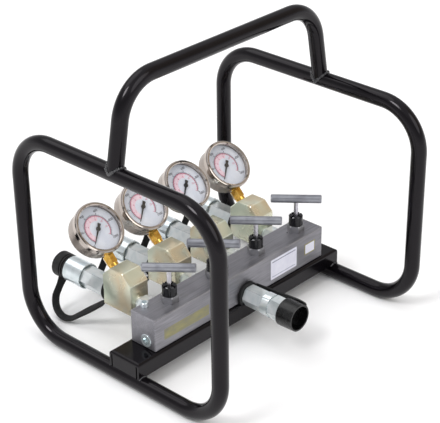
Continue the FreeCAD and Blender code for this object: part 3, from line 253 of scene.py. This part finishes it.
FINISHES = {
    "cage_paint": cage_paint(),
    "block_finish": block_finish(),
    # The zincs' dark edge colour is a painted dark reflection along their sharp edges.
    "zinc_plate": plated("zinc_plate", [(0.3, screen(200, 212, 214)), (0.5, screen(226, 234, 236)),
                                        (0.75, screen(208, 220, 228))],
                         (0.1, 0.18), 18, metallic=0.62, edge_reflection=screen(92, 110, 112), edge_reflection_wide=1.2),
    "bright_zinc": plated("bright_zinc", [(0.3, screen(216, 226, 228)), (0.46, screen(241, 245, 246)),
                                          (0.6, screen(224, 233, 235)), (0.76, screen(240, 245, 246))],
                          (0.08, 0.16), 18, metallic=0.55, edge_reflection=screen(92, 112, 114), edge_reflection_wide=1.3),
    # The pale edge colours below are painted highlights along sharp edges.
    "chromate_plate": plated("chromate_plate", [(0.28, screen(200, 210, 190)), (0.45, screen(226, 228, 207)),
                                                (0.58, screen(224, 209, 178)), (0.75, screen(186, 199, 190))],
                             (0.2, 0.28), 44, turned=(1, 1, 12), metallic=0.7, edge_reflection=screen(248, 246, 230),
                             line=2.0, line_height=0.001),
    "brass": plated("brass", [(0.3, screen(196, 142, 56)), (0.55, screen(236, 190, 94)),
                              (0.8, screen(216, 168, 92))],
                    (0.1, 0.2), 9, edge_reflection=screen(250, 222, 150)),
    "bright_steel": plated("bright_steel", [(0.3, screen(168, 166, 174)), (0.6, screen(196, 194, 201)),
                                            (0.8, screen(180, 178, 180))],
                           (0.22, 0.36), 12, turned=(30, 30, 1), edge_reflection=screen(226, 225, 230)),
    "tee_satin": plated("tee_satin", [(0.3, screen(134, 135, 142)), (0.6, screen(154, 156, 163)),
                                      (0.8, screen(145, 145, 150))],
                        (0.28, 0.38), 14, turned=(1, 1, 24), metallic=0.9, edge_reflection=screen(176, 174, 184)),
    "bonnet_steel": plated("bonnet_steel", [(0.3, screen(140, 140, 143)), (0.7, screen(164, 164, 167))],
                           (0.28, 0.4), 9, turned=(1, 1, 24), metallic=0.85, edge_reflection=screen(206, 206, 208)),
    "stainless": plated("stainless", [(0.3, screen(168, 159, 151)), (0.6, screen(192, 183, 176)),
                                      (0.8, screen(176, 166, 160))],
                        (0.08, 0.14), 18, line_height=0.002),
    "black_steel": plated("black_steel", [(0.3, screen(20, 20, 22)), (0.7, screen(34, 34, 37))],
                          (0.12, 0.25), 6, metallic=0.6, edge_reflection=screen(96, 96, 100)),
    "case_steel": plated("case_steel", [(0.3, screen(150, 141, 134)), (0.6, screen(172, 163, 156)),
                                        (0.8, screen(158, 148, 142))],
                         (0.24, 0.34), 22, turned=(24, 1, 1), edge_reflection=screen(190, 182, 176), line_height=0.003),
    "ptfe": plain("ptfe", screen(222, 222, 216), screen(238, 238, 233), (0.4, 0.6)),
    "dial_face": plain("dial_face", screen(206, 210, 220), screen(220, 223, 230), (0.38, 0.5), spot=16),
    "pointer_black": plain("pointer_black", screen(13, 13, 14), screen(22, 22, 23), (0.3, 0.45)),
    "rubber": rubber("rubber", screen(20, 20, 21), screen(38, 38, 39), (0.48, 0.66), 0.35),
    "gloss_rubber": rubber("gloss_rubber", screen(10, 10, 11), screen(20, 20, 21), (0.2, 0.34), 0.5),
    "gauge_window": clear_glass(),
}
DARK_PRINT = plain("dark_print", screen(38, 42, 54), screen(56, 60, 72), (0.45, 0.6), spot=3)
RED_PRINT = plain("red_print", screen(186, 104, 128), screen(202, 126, 146), (0.45, 0.6), spot=3)
PALE_LABEL = plain("pale_label", screen(218, 218, 232), screen(230, 230, 241), (0.28, 0.45), spot=11,
                   grain=1.4)
LABEL_LINE = plain("label_line", screen(74, 84, 116), screen(92, 102, 130), (0.3, 0.45), spot=3)
PINK_PRINT = plain("pink_print", screen(226, 196, 206), screen(234, 208, 216), (0.45, 0.6), spot=6)
OLIVE_RIM = plain("olive_rim", screen(136, 132, 92), screen(160, 154, 112), (0.35, 0.5), spot=4)
WELD_SKIN = plain("weld_skin", screen(20, 20, 22), screen(58, 58, 62), (0.06, 0.2), spot=2.4, grain=1.4,
                  height=0.12, specular_ior_level=0.8)

# Nodes that look different from the rest of their material
OTHER_FINISH = {
    "valve_bonnets": "bonnet_steel",
    "inlet_dust_cap": "gloss_rubber",
    "gauge_cases": "case_steel",
    **dict.fromkeys(("inlet_coupler", "inlet_sleeve", "outlet_couplers", "port_nipples"), "bright_zinc"),
    **{f"tee_bar_{number}": "tee_satin" for number in range(1, 5)},
}
for name, node in NODES.items():
    for slot in node.material_slots:
        slot.material = FINISHES[OTHER_FINISH.get(name, slot.material.name)]


# Making pieces
def add_piece(name, mesh, material, body="manifold", smooth=30):
    """A mesh as a piece of the scene, riding on a body. Edges sharper than smooth degrees stay sharp."""
    piece = bpy.data.objects.new(name, mesh)
    bpy.context.scene.collection.objects.link(piece)
    if not mesh.materials:
        mesh.materials.append(material)
    mesh.shade_smooth()
    mesh.set_sharp_from_angle(angle=math.radians(smooth))
    if body:
        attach(piece, body)
    return piece


def closed_mesh(name, points, faces):
    """A mesh over points in millimetres, with every face turned outwards."""
    mesh = bpy.data.meshes.new(name)
    mesh.from_pydata([Vector(point) * MM for point in points], [], faces)
    build = bmesh.new()
    build.from_mesh(mesh)
    bmesh.ops.recalc_face_normals(build, faces=build.faces)
    build.to_mesh(mesh)
    build.free()
    return mesh


def solid_from_rings(name, rings, closed_along=False):
    """A skin over rings of points, all with the same count. Open ends are capped."""
    count = len(rings[0])
    points = [point for ring in rings for point in ring]
    faces = []
    last = len(rings) if closed_along else len(rings) - 1
    for ring in range(last):
        here, there = ring * count, (ring + 1) % len(rings) * count
        for index in range(count):
            after = (index + 1) % count
            faces.append((here + index, here + after, there + after, there + index))
    if not closed_along:
        faces.append(tuple(reversed(range(count))))
        faces.append(tuple(range((len(rings) - 1) * count, len(rings) * count)))
    return closed_mesh(name, points, faces)


def joined(name, meshes):
    """Several meshes as one."""
    build = bmesh.new()
    for mesh in meshes:
        build.from_mesh(mesh)
        bpy.data.meshes.remove(mesh)
    whole = bpy.data.meshes.new(name)
    build.to_mesh(whole)
    build.free()
    return whole


def band_outline(wide, thick, corner, steps=4):
    """A rounded rectangle, as (across, through) pairs."""
    points = []
    for turn, (side, face) in enumerate(((1, 1), (-1, 1), (-1, -1), (1, -1))):
        for step in range(steps + 1):
            angle = math.radians(90 * turn + 90 * step / steps)
            points.append((side * (wide / 2 - corner) + corner * math.cos(angle),
                           face * (thick / 2 - corner) + corner * math.sin(angle)))
    return points


# Straps. A band lies in the plane of (along the coupler, away from its axis). It runs from start to goal over
# three arcs, given as (radius, degrees), with straights between them. The outlets' arcs are the solid's. The
# inlet's first two differ from the solid's by 4 degrees, and its band leans 7 degrees further over.
#   lean        the way from the axis to the band, as (X, Z)
#   neck        the radius of the ring's bore, and the ring's thickness
#   face, rise  where the ring lies along Y, and how high the coupler's axis is
#   way         the coupler's way along Y
#   twist       degrees that the band turns about its own line, evenly spaced from ring to cap
#   lowest      the height where the ring is cut flat, for the inlet just above the rail's top
STRAPS = {
    "outlet": {
        "arcs": ((12.0, 48.0), (26.0, 120.0), (12.0, 16.0)), "start": (1.6, 12.8), "goal": (84.5, 15.2),
        "lean": (-0.5, -0.8660), "neck": (11.55, 3.1), "face": 84.0, "rise": 59.0, "way": 1.0,
        "twist": (0.0, -60.0, -68.0, -58.0, -46.0, -35.0, -27.0, -20.0, -15.0), "lowest": -math.inf,
    },
    "inlet": {
        "arcs": ((4.5, 86.0), (60.0, 14.0), (4.0, 80.0)), "start": (2.5, 12.8), "goal": (84.0, 16.2),
        "lean": (0.9511, 0.3090), "neck": (7.55, 4.9), "face": -39.5, "rise": 49.0, "way": -1.0,
        "twist": (0.0, 0.0), "lowest": 40.3,
    },
}
STRAP_WIDE = 10.0
STRAP_THICK = 2.4
STRAP_CORNER = 0.8
FLARE = 0.4  # how much wider the band is at its ends
FLARE_FIRST, FLARE_LAST = 4, 6  # the points over which it widens
RING_RADIUS = 17.0
RING_CORNER = 0.9
RING_STEPS = 64
RING_GAP = 0.05


def strap_line(arcs, start, goal, step=2.5):
    """Points and headings along the band's middle."""
    shortest_straight = 0.1

    def heading(angle):
        return Vector((math.cos(math.radians(angle)), math.sin(math.radians(angle))))

    headings = [90.0]
    for _, turn in arcs:
        headings.append(headings[-1] - turn)
    left = Vector(goal) - Vector(start)
    for (radius, _), before, after in zip(arcs, headings, headings[1:]):
        left -= (heading(before - 90) - heading(after - 90)) * radius
    first, second = heading(headings[1]), heading(headings[3])
    area = first.cross(second)
    straights = [left.cross(second) / area, 0.0, first.cross(left) / area]
    here = Vector(start)
    line = [(here, 90.0)]
    for (radius, turn), before, straight in zip(arcs, headings, straights):
        centre = here + heading(before - 90) * radius
        count = max(6, round(math.radians(turn) * radius / step))
        for index in range(1, count + 1):
            angle = before - turn * index / count
            line.append((centre - heading(angle - 90) * radius, angle))
        here = line[-1][0]
        if straight > shortest_straight:
            angle = before - turn
            count = max(2, round(straight / step))
            for index in range(1, count + 1):
                line.append((here + heading(angle) * straight * index / count, angle))
            here = line[-1][0]
    return line


def between(values, share):
    """A smooth value at a share, 0 to 1, of the way along evenly spaced values."""
    place = share * (len(values) - 1)
    index = min(int(place), len(values) - 2)
    part = place - index
    part = part * part * (3 - 2 * part)
    return values[index] * (1 - part) + values[index + 1] * part


def strap(name, kind, x):
    """Rubber strap: a ring on the coupler's neck and a band to the side of the cap."""
    facts = STRAPS[kind]
    lean = Vector((facts["lean"][0], 0, facts["lean"][1]))
    along = Vector((0, facts["way"], 0))
    side = lean.cross(along)
    origin = Vector((x, facts["face"], facts["rise"]))
    line = strap_line(facts["arcs"], facts["start"], facts["goal"])
    last = len(line) - 1
    sections = []
    for index, (point, angle) in enumerate(line):
        flat = along * math.cos(math.radians(angle + 90)) + lean * math.sin(math.radians(angle + 90))
        twist = math.radians(between(facts["twist"], index / last))
        across_way = side * math.cos(twist) + flat * math.sin(twist)
        through = flat * math.cos(twist) - side * math.sin(twist)
        centre = origin + along * point.x + lean * point.y
        flare = 1 + FLARE * max(0.0, 1 - index / FLARE_FIRST, 1 - (last - index) / FLARE_LAST) ** 2
        sections.append([centre + across_way * across * flare + through * deep
                         for across, deep in band_outline(STRAP_WIDE, STRAP_THICK, STRAP_CORNER)])
    band = solid_from_rings(name, sections)
    bore, thick = facts["neck"]
    wide = RING_RADIUS - bore
    middle = origin + along * (thick / 2 + RING_GAP)
    low = facts["lowest"] - facts["rise"]
    sections = []
    for index in range(RING_STEPS):
        angle = 2 * math.pi * index / RING_STEPS
        ray = Vector((math.cos(angle), 0, math.sin(angle)))
        sections.append([])
        for across, deep in band_outline(wide, thick, min(RING_CORNER, thick / 3)):
            point = ray * (bore + wide / 2 + across) + along * deep
            point.z = max(point.z, low)
            sections[-1].append(middle + point)
    ring = solid_from_rings(name + "_ring", sections, closed_along=True)
    piece = add_piece(name, joined(name, [band, ring]), FINISHES["rubber"], body=None, smooth=60)
    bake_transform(piece)
    return piece


for number, x in enumerate(STATIONS, start=1):
    strap(f"strap_{number}", "outlet", x)
inlet_strap = strap("inlet_strap", "inlet", 9.0)
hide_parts("dust_cap_straps")


# Dials: scales in the plane of the dial, with X to its right and Y to its top
FULL_SWEEP = 270.0
PRINT_THICK = 0.05
NUMBER_BOLD = 0.06


def scale_angle(share):
    """Where a share of the scale lies, measured clockwise from the top."""
    return -FULL_SWEEP / 2 + FULL_SWEEP * share


def on_dial(radius, angle):
    turn = math.radians(angle)
    return Vector((radius * math.sin(turn), radius * math.cos(turn), 0))


def plate(corners, thick=PRINT_THICK):
    """A thin flat plate over a closed outline, its back on Z = 0."""
    count = len(corners)
    points = [Vector((corner.x, corner.y, z)) for z in (0, thick) for corner in corners]
    faces = [tuple(reversed(range(count))), tuple(range(count, 2 * count))]
    faces += [(i, (i + 1) % count, count + (i + 1) % count, count + i) for i in range(count)]
    return closed_mesh("plate", points, faces)


def tick(angle, near, far, wide):
    side = on_dial(wide / 2, angle + 90)
    return plate([on_dial(near, angle) + side, on_dial(far, angle) + side,
                  on_dial(far, angle) - side, on_dial(near, angle) - side])


def arc(radius, wide, start, end, steps=72):
    """A thin curved line as short plates."""
    inner, outer = radius - wide / 2, radius + wide / 2
    pieces = []
    for index in range(steps):
        here, there = (start + (end - start) * share / steps for share in (index, index + 1))
        pieces.append(plate([on_dial(inner, here), on_dial(outer, here),
                             on_dial(outer, there), on_dial(inner, there)]))
    return pieces


def number_print(text, high, radius, angle):
    """A number's mesh, upright on the dial."""
    font = bpy.data.curves.new("number", "FONT")
    font.body = text
    font.size = high * MM
    font.align_x = "CENTER"
    font.align_y = "CENTER"
    font.extrude = PRINT_THICK / 2 * MM
    font.offset = NUMBER_BOLD * MM
    font.resolution_u = 3
    holder = bpy.data.objects.new("number", font)
    bpy.context.scene.collection.objects.link(holder)
    bpy.context.view_layer.update()
    mesh = bpy.data.meshes.new_from_object(holder.evaluated_get(bpy.context.evaluated_depsgraph_get()))
    bpy.data.objects.remove(holder)
    bpy.data.curves.remove(font)
    middle = on_dial(radius, angle)
    mesh.transform(Matrix.Translation(Vector((middle.x, middle.y, PRINT_THICK / 2)) * MM))
    mesh.materials.clear()
    return mesh


def dark_scale():
    """The outer scale: ticks outwards from an arc, longer at each fifth, and numbers at each tenth."""
    divisions, numbers = 50, 5
    short, middle, long = 20.4, 21.2, 22.2
    parts = arc(radius=18.8, wide=0.5, start=scale_angle(0), end=scale_angle(1))
    for index in range(divisions + 1):
        major = index % 10 == 0
        far = long if major else middle if index % 5 == 0 else short
        parts.append(tick(scale_angle(index / divisions), near=18.7, far=far, wide=0.8 if major else 0.4))
    for index in range(numbers + 1):
        angle = scale_angle(index / numbers)
        parts.append(number_print(str(200 * index), high=4.5, radius=25.2, angle=angle))
    return joined("dark_scale", parts)


def red_scale():
    """The inner scale: ticks inwards from a wide arc, longer and with a number at each fourth."""
    divisions, numbers = 28, 7
    short, long = 16.4, 15.4
    parts = arc(radius=17.8, wide=1.1, start=scale_angle(0), end=scale_angle(1))
    for index in range(divisions + 1):
        major = index % 4 == 0
        near = long if major else short
        parts.append(tick(scale_angle(index / divisions), near=near, far=17.6, wide=0.7 if major else 0.4))
    for index in range(1, numbers):
        angle = scale_angle(index / numbers)
        parts.append(number_print(str(2 * index), high=3.5, radius=13.0, angle=angle))
    return joined("red_scale", parts)


def pink_zone():
    """The tinted band inside the red arc."""
    band = arc(radius=14.3, wide=6.4, start=scale_angle(0), end=scale_angle(0.62), steps=40)
    return joined("pink_zone", band)


# The dials look to the front and up by 45 degrees. A dial lies DIAL_FACE in front of the middle of its
# gauge's back, with the pink zone on it and the two scales on that.
DIAL_FACE = 19.5
BACK_Y, BACK_Z = 119.07, 122.14
HALF = math.sqrt(0.5)
scales = (("pink_zone", pink_zone(), PINK_PRINT, 0.0), ("dark_scale", dark_scale(), DARK_PRINT, PRINT_THICK),
          ("red_scale", red_scale(), RED_PRINT, PRINT_THICK))
for number, x in enumerate(STATIONS, start=1):
    for name, flat, material, lift in scales:
        face = DIAL_FACE + lift
        mesh = flat.copy()
        mesh.transform(Matrix(((1, 0, 0, x * MM),
                               (0, HALF, -HALF, (BACK_Y - HALF * face) * MM),
                               (0, HALF, HALF, (BACK_Z + HALF * face) * MM),
                               (0, 0, 0, 1))))
        add_piece(f"{name}_{number}", mesh, material)


# Block front: a white label with two lines, a small one with an olive rim and the rest of a faded stripe
BLOCK_FRONT = -39.5
LABEL_THICK = 0.2
RIM_THICK = 0.12


def rounded_plate(name, box, corner, thick, material, proud=0.0):
    """A thin plate with round corners over box, as (left, right, low, high), on the block's front face."""
    left, right, low, high = box
    points = [Vector((across + (left + right) / 2, up + (low + high) / 2, 0))
              for across, up in band_outline(right - left, high - low, corner, steps=6)]
    mesh = plate(points, thick)
    mesh.transform(Matrix(((1, 0, 0, 0),
                           (0, 0, -1, (BLOCK_FRONT - proud) * MM),
                           (0, 1, 0, 0),
                           (0, 0, 0, 1))))
    add_piece(name, mesh, material)


rounded_plate("front_label", (56, 107, 47, 76), 1.5, LABEL_THICK, PALE_LABEL)
rounded_plate("small_label_rim", (123, 144, 55, 71.5), 0.8, RIM_THICK, OLIVE_RIM)
rounded_plate("small_label", (124.6, 142.4, 56.6, 69.9), 0.5, 0.1, PALE_LABEL, proud=RIM_THICK)
rounded_plate("faded_stripe", (-138, -60, 50.5, 65), 0.5, 0.06, worn_stripe())
rounded_plate("label_line_top", (58.5, 104.5, 71.6, 72.6), 0.4, PRINT_THICK, LABEL_LINE, proud=LABEL_THICK)
rounded_plate("label_line_low", (58.5, 104.5, 50.4, 51.0), 0.25, PRINT_THICK, LABEL_LINE, proud=LABEL_THICK)


# Welds
TUBE_RADIUS = 10.0
LOOP_X = 180.5  # the middle of a loop's tube
WIDEST = 190.45  # just inside the loops' outer sides
RIPPLE = 0.22  # how much a bead swells and shrinks, as a share of its radius
BEAD_SIDES = 10
END_POINTS = 4  # the points over which an open bead's end grows to its full size
END_LEAST = 0.02


def bead(name, line, radius, pitch=1.9, closed=False):
    """A weld bead along a line of points, with the ripples of a slow weld."""
    count = len(line)
    rings = []
    travelled = 0.0
    for index, point in enumerate(line):
        before = line[index - 1] if closed or index else line[0]
        after = line[(index + 1) % count] if closed or index < count - 1 else line[-1]
        way = (after - before).normalized()
        across = across - way * across.dot(way) if index else way.orthogonal()
        across.normalize()
        other = way.cross(across)
        if index:
            travelled += (point - line[index - 1]).length
        end = 1.0
        if not closed:
            end = min(1.0, math.sqrt(max(END_LEAST, min(index, count - 1 - index) / END_POINTS)))
        uneven = 0.5 * math.sin(2 * math.pi * travelled / (pitch * 2.7)) + 0.3 * math.sin(travelled * 0.9)
        size = radius * end * (1 + RIPPLE * (math.sin(2 * math.pi * travelled / pitch) + uneven))
        rings.append([point + (across * math.cos(turn) + other * math.sin(turn)) * size
                      for turn in (2 * math.pi * step / BEAD_SIDES for step in range(BEAD_SIDES))])
        for spot in rings[-1]:
            spot.x = min(max(spot.x, -WIDEST), WIDEST)
    mesh = solid_from_rings(name, rings, closed_along=closed)
    add_piece(name, mesh, WELD_SKIN, smooth=60)


def handle_seam(side, steps=160):
    """The line where the handle's leg, which leans inwards, meets the loop's top bar on one side."""
    lean = math.radians(10.5)
    least_rise = 0.6
    depth = Vector((0, 1, 0))
    leg = Vector((-side * math.sin(lean), 0, math.cos(lean)))
    across = depth.cross(leg)
    foot = Vector((side * LOOP_X, -12.5, 281.0))
    seam = []
    for step in range(steps):
        turn = 2 * math.pi * step / steps
        rise = TUBE_RADIUS * abs(math.sin(turn))
        seam.append(foot + depth * TUBE_RADIUS * math.sin(turn) + across * TUBE_RADIUS * math.cos(turn)
                    + leg * max(rise, least_rise))
    return seam


def rail_seam(side, y, steps=40):
    """The line where an edge of the rail lies on the loop's bottom bar on one side."""
    first, sweep = 48, 84
    height = 10.2
    seam = []
    for step in range(steps + 1):
        turn = math.radians(first + sweep * step / steps)
        seam.append(Vector((side * LOOP_X + TUBE_RADIUS * math.cos(turn), y,
                            height + TUBE_RADIUS * math.sin(turn))))
    return seam


for side, word in ((-1, "left"), (1, "right")):
    bead(f"handle_weld_{word}", handle_seam(side), 2.1, pitch=2.6, closed=True)
    for y, where in ((-44.0, "front"), (6.0, "rear")):
        bead(f"rail_weld_{where}_{word}", rail_seam(side, y), 1.4)


# Floor, light and camera
def add_floor():
    """White paper, a square of 18 metres."""
    half = 9
    mesh = bpy.data.meshes.new("floor")
    corners = [(-half, -half, 0), (half, -half, 0), (half, half, 0), (-half, half, 0)]
    mesh.from_pydata(corners, [], [(0, 1, 2, 3)])
    floor = bpy.data.objects.new("floor", mesh)
    bpy.context.scene.collection.objects.link(floor)
    paper = Finish("floor_paper", roughness=0.85, specular_ior_level=0.1)
    shades = ((0.3, (0.95, 0.95, 0.95, 1)), (0.7, (0.97, 0.97, 0.97, 1)))
    paper.paint(paper.colours(paper.noise(500, detail=2.0), *shades))
    mesh.materials.append(paper.material)


# The wall that the metal mirrors: its way from the object, its colour and how much of it shows
WALL_WAY = (0.634, -0.489, 0.599)
WALL_COLOUR = (0.48, 0.39, 0.27, 1)
WALL_SHARE = 0.7


def add_world():
    """A room: white at the horizon, greyer above and paler again overhead, with one warm wall."""
    world = bpy.data.worlds.new("room")
    world.use_nodes = True
    tree = world.node_tree
    place = tree.nodes.new("ShaderNodeTexCoord")
    split = tree.nodes.new("ShaderNodeSeparateXYZ")
    ramp = tree.nodes.new("ShaderNodeValToRGB")
    tree.links.new(place.outputs["Generated"], split.inputs["Vector"])
    tree.links.new(split.outputs["Z"], ramp.inputs["Fac"])
    blue = 1.02
    stops = ((0.04, 1.0), (0.25, 0.6), (0.5, 0.45), (0.78, 0.85))
    elements = ramp.color_ramp.elements
    for index, (position, value) in enumerate(stops):
        element = elements[index] if index < 2 else elements.new(position)
        element.position = position
        element.color = (value, value, value * blue, 1)
    wall = tree.nodes.new("ShaderNodeVectorMath")
    wall.operation = "DOT_PRODUCT"
    wall.inputs[1].default_value = WALL_WAY
    tree.links.new(place.outputs["Generated"], wall.inputs[0])
    share = tree.nodes.new("ShaderNodeMapRange")
    share.interpolation_type = "SMOOTHSTEP"
    for name, value in (("From Min", 0.82), ("From Max", 0.97), ("To Max", WALL_SHARE)):
        share.inputs[name].default_value = value
    tree.links.new(wall.outputs["Value"], share.inputs["Value"])
    tinted = tree.nodes.new("ShaderNodeMix")
    tinted.data_type = "RGBA"
    first, second = (item for item in tinted.inputs if item.type == "RGBA")
    second.default_value = WALL_COLOUR
    tree.links.new(share.outputs["Result"], tinted.inputs["Factor"])
    tree.links.new(ramp.outputs["Color"], first)
    tinted_colour = next(item for item in tinted.outputs if item.type == "RGBA")
    tree.links.new(tinted_colour, tree.nodes["Background"].inputs["Color"])
    bpy.context.scene.world = world


def add_sun(name, towards, strength, angle):
    """A lamp that shines in a direction. The more degrees its angle has, the softer its shadows are."""
    light = bpy.data.lights.new(name, "SUN")
    light.energy = strength
    light.angle = math.radians(angle)
    lamp = bpy.data.objects.new(name, light)
    lamp.rotation_mode = "QUATERNION"
    lamp.rotation_quaternion = Vector(towards).to_track_quat("-Z", "Y")
    bpy.context.scene.collection.objects.link(lamp)


# The camera's axes to the right, upwards and backwards, and its place in metres
CAMERA_AXES = ((0.6815, -0.7317, -0.0116), (0.3647, 0.3258, 0.8722), (-0.6344, -0.5987, 0.4889))
CAMERA_PLACE = (-1.1811, -1.1089, 1.0302)


def add_camera():
    """The photo's camera, as fitted to the object's edges in it."""
    data = bpy.data.cameras.new("camera")
    data.sensor_fit = "HORIZONTAL"
    data.sensor_width = 36.0
    data.lens = 121.27
    data.shift_x = 0.01205
    data.shift_y = 0.0543
    data.clip_end = 50.0
    camera = bpy.data.objects.new("camera", data)
    camera.matrix_world = Matrix((*zip(*CAMERA_AXES, CAMERA_PLACE), (0, 0, 0, 1)))
    bpy.context.scene.collection.objects.link(camera)
    bpy.context.scene.camera = camera
    bpy.context.scene.view_settings.view_transform = "Standard"


add_floor()
add_world()
add_sun("key", towards=(0.75, -0.1, -1.0), strength=1.2, angle=20)
add_sun("fill", towards=(-0.1, 0.9, -0.75), strength=0.7, angle=40)
add_sun("back", towards=(0.1, -0.55, -1.0), strength=0.5, angle=45)
add_camera()

bpy.context.view_layer.update()
